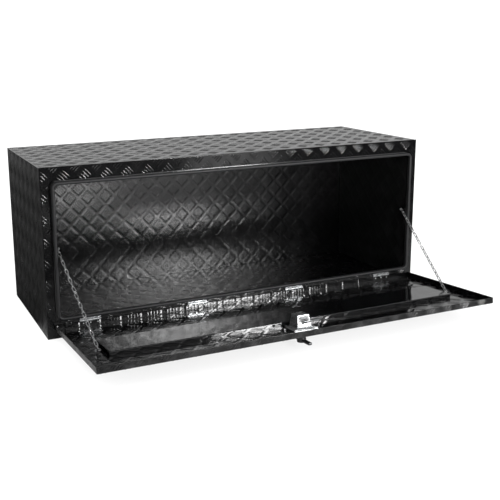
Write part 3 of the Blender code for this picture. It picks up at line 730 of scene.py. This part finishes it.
class TOOLBOX_OT_front_frame(bpy.types.Operator):
    """The front band with its bars, its filleted lip, and the rubber seal on the lip"""
    bl_idname = "toolbox.front_frame"
    bl_label = "Front frame and seal"

    def execute(self, context):
        size = sizes()
        rise = size.bar_rise
        seal_width, corner, lip_reach, touch = 0.0093, 0.012, 0.0135, 0.0001
        half = SEAL_HIGH.x - (SHEET + seal_width) / 2
        bottom = SEAL_LOW.z + (SHEET + seal_width) / 2
        top = SEAL_HIGH.z - (SHEET + seal_width) / 2
        face = FRONT + rise
        band = block("front skin", (-HALF_WIDTH, face, 0), (HALF_WIDTH, FRONT + SHEET, HEIGHT))
        opening = ring("opening", half, bottom, top, corner, SHEET, FRONT - lip_reach, FRONT + SHEET)
        hole = block(
            "hole", (-half - SHEET / 2, face - 0.01, bottom - SHEET / 2),
            (half + SHEET / 2, FRONT + 0.01, top + SHEET / 2),
        )
        round_edges(
            hole, corner + SHEET / 2, 8, lambda edge: abs(edge.verts[0].co.y - edge.verts[1].co.y) > 0.005
        )
        cut(band, hole)
        cut(band, opening, "UNION")
        round_edges(
            band, size.lip_fillet, 4,
            lambda edge: edge.is_manifold and not edge.is_convex
            and all(abs(v.co.y - face) < touch for v in edge.verts),
        )
        round_edges(
            band, 0.0007, 3,
            lambda edge: edge.is_convex and all(
                abs(v.co.y - face) < touch
                and (abs(v.co.x) > HALF_WIDTH - touch or v.co.z < touch or v.co.z > HEIGHT - touch)
                for v in edge.verts
            ),
        )
        lay = Matrix.Translation((0, face, 0)) @ ON_FRONT
        field = make_tread_field(HALF_WIDTH, HEIGHT / 2)
        middle = Matrix.Translation((FRONT_SHIFT[0], HEIGHT / 2 + FRONT_SHIFT[1], 0))
        field.data.transform(middle @ Matrix.Rotation(FRONT_TILT, 4, "Z"))
        clear = SHEET + size.lip_fillet
        left = half + clear
        edge_x = HALF_WIDTH - EDGE_ROOM
        edge_top = HEIGHT - EDGE_ROOM
        patches = [
            tread_patch(field, lay, (-edge_x, top + clear), (edge_x, edge_top)),
            tread_patch(field, lay, (-edge_x, EDGE_ROOM), (edge_x, bottom - clear)),
            tread_patch(field, lay, (-edge_x, bottom - clear), (-left, top + clear)),
            tread_patch(field, lay, (left, bottom - clear), (edge_x, top + clear)),
        ]
        drop(field)
        front = weld("front_band", [*patches, band])
        smooth(front, 50)
        paint_inside(front, (0, 1, 0), FINISHES["front"], FINISHES["smooth"])
        finish_piece(front, "box", ["front_frame"])

        inner = (SHEET - seal_width) / 2
        seal = ring(
            "seal", half + inner, bottom - inner, top + inner, corner + inner, seal_width,
            SEAL_LOW.y, SEAL_HIGH.y, steps=10,
        )
        round_edges(
            seal, 0.0040, 5,
            lambda edge: all(abs(v.co.y - SEAL_LOW.y) < touch for v in edge.verts)
            and abs(edge.link_faces[0].normal.dot(edge.link_faces[1].normal)) < 0.1,
        )
        smooth(seal, 45)
        finish_piece(seal, "box", ["door_seal"], "rubber")
        return {"FINISHED"}


class TOOLBOX_OT_door(bpy.types.Operator):
    """The door pan with its flanges and bars, and the channel that stiffens it"""
    bl_idname = "toolbox.door"
    bl_label = "Door"

    def execute(self, context):
        size = sizes()
        rise = size.bar_rise
        half = PAN_HALF
        low = PAN_FLOOR
        pan = block("pan", (-half + rise, -PAN_REACH + rise, low + rise), (half - rise, PAN_BACK, 0))
        remove_faces(pan, lambda face: face.normal.z > 0.5)
        round_edges(pan, size.fold, 3, lambda edge: not edge.is_boundary)
        with_modifier(pan, "SOLIDIFY", thickness=SHEET - rise, offset=-1, use_even_offset=True)
        cut(pan, block("hinge room", (-1, PAN_BACK - 0.004, -0.0034), (1, 0.01, 0.01)))
        soften(pan, 0.0003, 1, 60)
        field = make_tread_field(HALF_WIDTH, PAN_REACH / 2)
        room = size.fold + rise
        y_middle = (PAN_BACK - PAN_REACH) / 2
        floor_half = (PAN_BACK + PAN_REACH) / 2 - room
        under = Matrix.Translation((0, y_middle, low + rise)) @ UNDERNEATH
        z_middle = low / 2
        front = Matrix.Translation((0, -PAN_REACH + rise, z_middle)) @ ON_FRONT
        left = Matrix.Translation((-half + rise, y_middle, z_middle)) @ ON_LEFT
        right = Matrix.Translation((half - rise, y_middle, z_middle)) @ ON_RIGHT
        rim = -low / 2
        side_room = rim - 0.001
        patches = [tread_patch(field, under, (-half + room, -floor_half), (half - room, floor_half))]
        for lay, reach in ((front, half - room), (left, floor_half), (right, floor_half)):
            patches.append(tread_patch(field, lay, (-reach, -rim + room), (reach, side_room), (0, 0.004)))
        drop(field)
        pan = weld("door_tray", [*patches, pan])
        smooth(pan, 50)
        paint_inside(pan, (0, 0, 1), FINISHES["rim"], FINISHES["door_inside"])
        flange_foot = low + 0.004
        for face in pan.data.polygons:
            if face.normal.z > 0.7 and face.center.z > flange_foot:
                face.material_index = 0
            elif abs(face.normal.z) < 0.7 and face.center.z > flange_foot:
                to_middle = Vector((-face.center.x, y_middle - face.center.y, 0))
                face.material_index = 1 if face.normal.dot(to_middle) > 0.02 else 0
        finish_piece(pan, "door", ["door_pan"], matrix=DOOR)

        far, near, rise = -0.2969, -0.1779, 0.012
        base = low + SHEET + GAP
        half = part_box("door_stiffener")[1].x
        channel = block("door_channel", (-half, far, base), (half, near, base + rise))
        remove_faces(channel, lambda face: face.normal.z < -0.5 or abs(face.normal.x) > 0.5)
        round_edges(channel, 0.0028, 4, lambda edge: not edge.is_boundary)
        with_modifier(channel, "SOLIDIFY", thickness=SHEET, offset=-1, use_even_offset=True)
        smooth(channel)
        finish_piece(channel, "door", ["door_stiffener"], "channel", DOOR)
        return {"FINISHED"}


# Hinges


def domed_head(radius, height):
    """A rivet head on Z = 0, domed upwards."""
    bpy.ops.mesh.primitive_uv_sphere_add(segments=12, ring_count=8, radius=1, location=(0, 0, 0))
    head = bpy.context.object
    shave(head, (0, 0, 0), (0, 0, -1))
    head.scale = (radius, radius, height)
    return place(head)


def hinge_leaf(name, up, knuckles, pitch):
    """One leaf, its rolled knuckles and its rivet heads, about the pin's middle."""
    half, slack = 0.030, 0.0002
    outer, inner = 0.0028, 0.0014
    rows = sorted((up * 0.0006, up * 0.0125))
    leaf = block(name, (-half, inner, rows[0]), (half, outer, rows[1]))
    for index in range(5):
        if index not in knuckles:
            x = -half + index * pitch
            cut(leaf, block("gap", (x - slack, -0.01, -0.0032), (x + pitch + slack, 0.01, 0.0032)))
    soften(leaf, 0.0003)
    pieces = [leaf]
    for index in knuckles:
        x = -half + index * pitch
        barrel = rod("barrel", outer, (x + slack, 0, 0), (x + pitch - slack, 0, 0))
        soften(barrel, 0.0003, 2, 60)
        pieces.append(barrel)
    for index in (-1, 0, 1):
        head = domed_head(RIVET_RADIUS, 0.0014)
        spot = Matrix.Translation((index * RIVET_PITCH, inner, up * RIVET_ROW))
        head.data.transform(spot @ ON_FRONT)
        pieces.append(head)
    return smooth(weld(name, pieces))


class TOOLBOX_OT_hinges(bpy.types.Operator):
    """Four butt hinges with rolled knuckles, a pin and three rivets to a leaf"""
    bl_idname = "toolbox.hinges"
    bl_label = "Hinges"

    def execute(self, context):
        pitch = 0.012
        box_leaf = hinge_leaf("box_leaf", 1, (0, 2, 4), pitch)
        door_leaf = hinge_leaf("door_leaf", -1, (1, 3), pitch)
        pin = rod("pin", 0.0012, (-0.0312, 0, 0), (0.0312, 0, 0), 16)
        soften(pin, 0.0003, 2, 60)
        smooth(pin)
        middles = []
        for number in range(1, 5):
            pin_low, pin_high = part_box(f"hinge_{number}_pin")
            middles.append((pin_low.x + pin_high.x) / 2)
            shift = Matrix.Translation((middles[-1], 0, 0))
            level = Matrix.Translation(HINGE) @ shift
            for source, body, node, matrix in (
                (box_leaf, "box", f"hinge_{number}_box_leaf", level),
                (door_leaf, "door", f"hinge_{number}_door_leaf", DOOR @ shift),
                (pin, "box", f"hinge_{number}_pin", level),
            ):
                piece = copy_of(source, node.replace("hinge_", "butt_"), matrix)
                finish_piece(piece, body, [node], "zinc")
        tails = []
        for middle in middles:
            for index in (-1, 0, 1):
                tail = domed_head(RIVET_RADIUS, 0.0012)
                spot = Matrix.Translation((middle + index * RIVET_PITCH, PAN_BACK - SHEET, -RIVET_ROW))
                tail.data.transform(DOOR @ spot @ ON_FRONT)
                tails.append(tail)
        finish_piece(smooth(weld("hinge_rivet_tails", tails)), "door", [], "zinc")
        for item in (box_leaf, door_leaf, pin):
            drop(item)
        return {"FINISHED"}


# Latch


LATCH_TAPER = (0.745, 0.733, 1)


def tapered(name, low, high):
    """A block that narrows towards its top."""
    item = block(name, low, high)
    edit(item)
    mark(item, "FACE", lambda face: face.normal.z > 0.5)
    bpy.ops.transform.resize(value=LATCH_TAPER, center_override=(0, (low[1] + high[1]) / 2, high[2]))
    close_edit()
    return item


class TOOLBOX_OT_latch(bpy.types.Operator):
    """The pressed latch housing and its base plate"""
    bl_idname = "toolbox.latch"
    bl_label = "Latch"

    def execute(self, context):
        spot = DOOR @ Matrix.Translation((0, LATCH_Y, 0))
        plate_low = PAN_FLOOR + SHEET + GAP
        plate_top = plate_low + 0.002
        base = plate_top + GAP
        top = base + 0.0344
        half, near, far = 0.0235, 0.026, -0.019
        wall, dish = 0.0017, 0.0026
        cover = tapered("latch_cover", (-half, far, base), (half, near, top))
        soften(cover, 0.0016, 2, 20)
        edit(cover)
        mark(cover, "FACE", lambda face: face.calc_area() > 0.0005 and abs(face.normal.z) < 0.5)
        bpy.ops.mesh.inset(thickness=0.003, use_individual=True)
        bpy.ops.mesh.poke(offset=-dish, use_relative_offset=False)
        close_edit()
        cut(cover, tapered(
            "room", (-half + 2 * wall, far + 2 * wall, base - 0.001),
            (half - 2 * wall, near - 2 * wall, top - wall),
        ))
        reach = 0.05
        cut(cover, block("slot", (-0.0075, -reach, -0.0032), (reach, 0.0075, 0.0032)))
        smooth(cover, 25)
        finish_piece(cover, "door", ["latch_housing"], "cover_zinc", spot)

        side, rear, front = 0.036, 0.028, -0.0275
        sheet = block("latch_base", (-side, front, plate_low), (side, rear, plate_top))
        lip = block("latch_base_lip", (-side, front, plate_low), (side, -0.0255, plate_low + 0.004))
        cut(sheet, lip, "UNION")
        soften(sheet, 0.0005)
        smooth(sheet)
        finish_piece(sheet, "door", ["latch_plate"], "zinc", spot)
        return {"FINISHED"}


class TOOLBOX_OT_handle(bpy.types.Operator):
    """The T-handle and its keyed plug"""
    bl_idname = "toolbox.handle"
    bl_label = "T-handle"

    def execute(self, context):
        spot = DOOR @ Matrix.Translation((0, LATCH_Y, 0))
        middle = PAN_FLOOR - 0.0325
        gasket, escutcheon = 0.0015, 0.004
        under = PAN_FLOOR - GAP - gasket - GAP - escutcheon - GAP
        handle = block("t_bar", (-0.006, -0.047, middle - 0.004), (0.006, 0.047, middle + 0.004))
        round_edges(handle, 0.0034, 4, lambda edge: True)
        hub = rod("hub", 0.0125, (0, 0, middle - 0.006), (0, 0, middle + 0.006), 32)
        soften(hub, 0.0015, 3, 60)
        stem = rod("stem", 0.0095, (0, 0, middle), (0, 0, under), 32)
        pocket = rod("pocket", 0.0063, (0, 0, middle - 0.01), (0, 0, middle + 0.0038), 32)
        cut(handle, hub, "UNION")
        cut(handle, stem, "UNION")
        cut(handle, pocket)
        smooth(handle, 35)
        finish_piece(handle, "handle", ["t_handle"], "handle", spot)

        plug = rod("key_plug", 0.0060, (0, 0, middle - 0.006), (0, 0, middle + 0.0035), 32)
        soften(plug, 0.0006, 2, 60)
        slot_low = (-0.0007, -0.0039, middle - 0.01)
        cut(plug, block("key slot", slot_low, (0.0007, 0.0039, middle - 0.002)))
        smooth(plug, 35)
        finish_piece(plug, "lock", ["lock_plug"], "chrome", spot)
        return {"FINISHED"}


# Chains


def make_link(inner_length):
    """One rounded link in the XZ plane, long along Z."""
    size = sizes()
    wire = size.link_wire
    radius = (size.link_width - 2 * wire) / 2
    straight = inner_length / 2 + wire - radius
    bpy.ops.mesh.primitive_torus_add(
        major_segments=16, minor_segments=8, major_radius=radius, minor_radius=wire,
        location=(0, 0, 0), rotation=(math.pi / 2, 0, 0),
    )
    link = bpy.context.object
    place(link)
    edit(link, "VERT")
    mark(link, "VERT", lambda vert: vert.co.z > wire / 10)
    bpy.ops.transform.translate(value=(0, 0, straight))
    bpy.ops.mesh.select_all(action="DESELECT")
    mark(link, "VERT", lambda vert: vert.co.z < -wire / 10)
    bpy.ops.transform.translate(value=(0, 0, -straight))
    close_edit()
    return link


def facing(direction):
    """A turn whose Z runs along a direction and whose X stays nearest to the model's X."""
    forward = direction.normalized()
    side = Vector((1, 0, 0))
    side = (side - forward * side.dot(forward)).normalized()
    return Matrix((side, forward.cross(side), forward)).transposed().to_4x4()


class TOOLBOX_OT_chains(bpy.types.Operator):
    """The two chains, each in an upper and a lower run"""
    bl_idname = "toolbox.chains"
    bl_label = "Chains"

    def execute(self, context):
        count, upper_count = 22, 10
        bite, anchor, open_gap = 0.0004, 0.002, 0.003
        wire = sizes().link_wire
        for word in ("left", "right"):
            top = Vector(JOINTS[f"{word}_upper_chain_swing"]["pos_m"])
            foot = Vector(JOINTS[f"{word}_lower_chain_swing"]["pos_m"])
            span = foot - top
            spare = (count - 2) * bite + 4 * wire + open_gap
            inner = (span.length + 2 * (anchor + GAP) - spare) / count
            link = make_link(inner)
            pitch = inner + bite
            for run, start, way, links in (
                ("upper", top, span, upper_count), ("lower", foot, -span, count - upper_count)
            ):
                turn = Matrix.Translation(start) @ facing(way)
                pieces = []
                for index in range(links):
                    along = inner / 2 - anchor - GAP + index * pitch
                    quarter = Matrix.Rotation(math.pi / 2 * (1 - index % 2), 4, "Z")
                    pieces.append(copy_of(link, "link", turn @ Matrix.Translation((0, 0, along)) @ quarter))
                chain = weld(f"{word}_{run}_links", pieces)
                smooth(chain, 60)
                finish_piece(chain, f"{word}_{run}_run", [f"{word}_{run}_chain"], "chain")
            drop(link)
        return {"FINISHED"}


class TOOLBOX_OT_fittings(bpy.types.Operator):
    """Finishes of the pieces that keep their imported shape"""
    bl_idname = "toolbox.fittings"
    bl_label = "Small fittings"

    def execute(self, context):
        plain = {
            "black_coat": "smooth", "black_tread": "outside", "seal_rubber": "rubber", "zinc": "zinc",
            "chain_zinc": "chain", "handle_black": "handle", "lock_chrome": "chrome",
        }
        for title, node in frame["nodes"].items():
            for slot in node.material_slots:
                name = slot.material.name.split(".")[0] if slot.material else "zinc"
                finish = "handle" if "escutcheon" in title else plain.get(name, "zinc")
                slot.material = FINISHES[finish]
        return {"FINISHED"}


# Stage

# Name, place, aim, size and power of each light
LIGHTS = (
    ("Front softbox", (0.91, -2.4, 0.74), (0, -0.2, 0.3), (0.5, 0.27), 50),
    ("Upper front card", (1.3, -3.0, 1.62), (1.1, 0, 0.9), (3.4, 0.8), 34),
    ("Low left fill", (-0.02, -1.5, 0.01), (-0.02, -1.5, 1.0), (0.36, 0.6), 9),
    ("Low right fill", (1.28, -3.05, 0.01), (1.28, -3.05, 1.0), (0.6, 0.5), 3),
    ("Back card", (0, 3.2, 2.2), (0, 0.2, 1.2), (10.0, 5.0), 88),
)
# The photograph's camera as fitted: place, azimuth, elevation and roll,
# then focal length and middle in pixels
CAMERA_PLACE = (-1.069, -2.3741, 0.8302)
CAMERA_TURN = (-24.083, 12.67, -0.563)
CAMERA_FOCUS = 828.27
CAMERA_MIDDLE = (213.82, 216.09)
FRAME_SIZE = 500
SENSOR_WIDTH = 36
# The world's strength as the camera and matt surfaces have it, and as glossy surfaces mirror it
WORLD_STRENGTH, MIRRORED_STRENGTH = 3.6, 0.20
# Painted light on the mirrored floor: stretches where the floor's colour for glossy rays is painted
# lighter, each from, to and how softly it ends:
# an apron before the box, which is dimmer, and a patch farther out
PAINTED_APRON_Y = (-0.82, -0.10, 0.05)
PAINTED_APRON_SHARE = 0.7
PAINTED_PATCH_X = (-0.20, 0.85, 0.12)
PAINTED_PATCH_Y = (-1.85, -1.02, 0.10)


def area_light(name, spot, aim, size, power):
    light = bpy.data.lights.new(name, "AREA")
    light.shape = "RECTANGLE"
    light.size, light.size_y = size
    light.energy = power
    item = bpy.data.objects.new(name, light)
    bpy.context.collection.objects.link(item)
    item.location = spot
    item.rotation_euler = (Vector(aim) - Vector(spot)).to_track_quat("-Z", "Y").to_euler()
    item.visible_camera = False


def for_rays(finish, title, ray, colour):
    """Gives one colour of the shader another value for rays of one kind."""
    socket = finish.shader.inputs[title]
    usual = socket.links[0].from_socket if socket.links else (0, 0, 0, 1)
    mask = finish.tree.nodes.new("ShaderNodeLightPath").outputs[ray]
    feed(finish.tree, mix(finish.tree, mask, usual, colour), socket)


def paint_floor_light_for_reflections(finish, painted_lit, dark):
    """Painted light and shade on the floor that the coat mirrors: for glossy rays its colour is painted lit
    round the front of the box and dark beyond.
    """
    tree = finish.tree
    split = tree.nodes.new("ShaderNodeSeparateXYZ")
    feed(tree, finish.place, split.inputs[0])

    def between(axis, low, high, soft):
        rising = spread(tree, split.outputs[axis], low - soft, low + soft, 0.0, 1.0)
        falling = spread(tree, split.outputs[axis], high - soft, high + soft, 1.0, 0.0)
        return math_node(tree, "MULTIPLY", rising, falling)

    # Painted pools of light: the apron and the patch lighten the floor's colour, seen only in reflections
    painted_apron = math_node(tree, "MULTIPLY", between(1, *PAINTED_APRON_Y), PAINTED_APRON_SHARE)
    patch = math_node(tree, "MULTIPLY", between(0, *PAINTED_PATCH_X), between(1, *PAINTED_PATCH_Y))
    shade = mix(tree, math_node(tree, "MAXIMUM", painted_apron, patch), dark, painted_lit)
    for_rays(finish, "Base Color", "Is Glossy Ray", shade)


class TOOLBOX_OT_stage(bpy.types.Operator):
    """Pale floor, studio light and the camera"""
    bl_idname = "toolbox.stage"
    bl_label = "Stage"

    def execute(self, context):
        scene = context.scene
        bpy.ops.mesh.primitive_plane_add(size=30, location=(0, 0, -0.0005))
        floor = bpy.context.object
        floor.name = "studio_floor"
        finish = Finish("Studio floor")
        marks = finish.add_group("Dust", dust_group, amount=0.2, size=3.0)
        finish.tint(marks["Mask"], colours().floor, lighter(colours().floor, 1.04))
        finish.shader.inputs["Roughness"].default_value = 0.9
        finish.shader.inputs["Specular IOR Level"].default_value = 0.0
        # Painted light and shade in the floor's colour for glossy rays, for the coat to mirror
        paint_floor_light_for_reflections(finish, painted_lit=(0.29, 0.29, 0.29, 1), dark=(0.018, 0.018, 0.018, 1))
        # To the camera the floor is mostly an even glow, so that thin pieces stand out on it
        for_rays(finish, "Base Color", "Is Camera Ray", (0.14, 0.14, 0.14, 1))
        for_rays(finish, "Emission Color", "Is Camera Ray", (0.8, 0.8, 0.8, 1))
        finish.shader.inputs["Emission Strength"].default_value = 1.0
        floor.data.materials.append(finish.material)

        world = bpy.data.worlds.new("Studio")
        scene.world = world
        world.use_nodes = True
        tree = world.node_tree
        backdrop = tree.nodes["Background"].inputs
        backdrop["Color"].default_value = (1.0, 1.0, 1.0, 1)
        mirrored = tree.nodes.new("ShaderNodeLightPath").outputs["Is Glossy Ray"]
        strength = spread(tree, mirrored, 0.0, 1.0, WORLD_STRENGTH, MIRRORED_STRENGTH)
        feed(tree, strength, backdrop["Strength"])
        scene.view_settings.view_transform = "Standard"
        for light in LIGHTS:
            area_light(*light)

        azimuth, elevation, roll = (math.radians(angle) for angle in CAMERA_TURN)
        back = Vector((
            math.sin(azimuth) * math.cos(elevation), -math.cos(azimuth) * math.cos(elevation),
            math.sin(elevation),
        ))
        level = Vector((math.cos(azimuth), math.sin(azimuth), 0))
        upright = back.cross(level)
        right = math.cos(roll) * level + math.sin(roll) * upright
        up = -math.sin(roll) * level + math.cos(roll) * upright
        camera = bpy.data.cameras.new("Camera")
        item = bpy.data.objects.new("Camera", camera)
        bpy.context.collection.objects.link(item)
        turn = Matrix((right, up, back)).transposed().to_4x4()
        item.matrix_world = Matrix.Translation(CAMERA_PLACE) @ turn
        camera.sensor_fit = "HORIZONTAL"
        camera.sensor_width = SENSOR_WIDTH
        camera.lens = CAMERA_FOCUS * SENSOR_WIDTH / FRAME_SIZE
        camera.shift_x = (FRAME_SIZE / 2 - CAMERA_MIDDLE[0]) / FRAME_SIZE
        camera.shift_y = (CAMERA_MIDDLE[1] - FRAME_SIZE / 2) / FRAME_SIZE
        camera.clip_end = 60
        scene.camera = item
        return {"FINISHED"}


class TOOLBOX_PT_panel(bpy.types.Panel):
    """Sidebar panel with the pieces and their sizes"""
    bl_idname = "TOOLBOX_PT_panel"
    bl_label = "Underbody tool box"
    bl_space_type = "VIEW_3D"
    bl_region_type = "UI"
    bl_category = "Tool box"

    def draw(self, context):
        layout = self.layout
        for operator in OPERATORS:
            layout.operator(operator.bl_idname)
        for settings in (sizes(), colours()):
            box = layout.box()
            for name in settings.bl_rna.properties.keys():
                if name not in ("rna_type", "name"):
                    box.prop(settings, name)


OPERATORS = (
    TOOLBOX_OT_stage, TOOLBOX_OT_fittings, TOOLBOX_OT_tread_sheets, TOOLBOX_OT_front_frame, TOOLBOX_OT_door,
    TOOLBOX_OT_hinges, TOOLBOX_OT_latch, TOOLBOX_OT_handle, TOOLBOX_OT_chains,
)
CLASSES = (BoxSizes, BoxColours, *OPERATORS, TOOLBOX_PT_panel)


def register():
    for item in CLASSES:
        bpy.utils.register_class(item)
    bpy.types.Scene.tool_box_sizes = bpy.props.PointerProperty(type=BoxSizes)
    bpy.types.Scene.tool_box_colours = bpy.props.PointerProperty(type=BoxColours)


def unregister():
    del bpy.types.Scene.tool_box_colours
    del bpy.types.Scene.tool_box_sizes
    for item in reversed(CLASSES):
        bpy.utils.unregister_class(item)


def main():
    register()
    FINISHES.update(make_finishes())
    bpy.ops.toolbox.fittings()
    bpy.ops.toolbox.tread_sheets()
    bpy.ops.toolbox.front_frame()
    bpy.ops.toolbox.door()
    bpy.ops.toolbox.hinges()
    bpy.ops.toolbox.latch()
    bpy.ops.toolbox.handle()
    bpy.ops.toolbox.chains()
    bpy.ops.toolbox.stage()


if __name__ == "__main__":
    main()
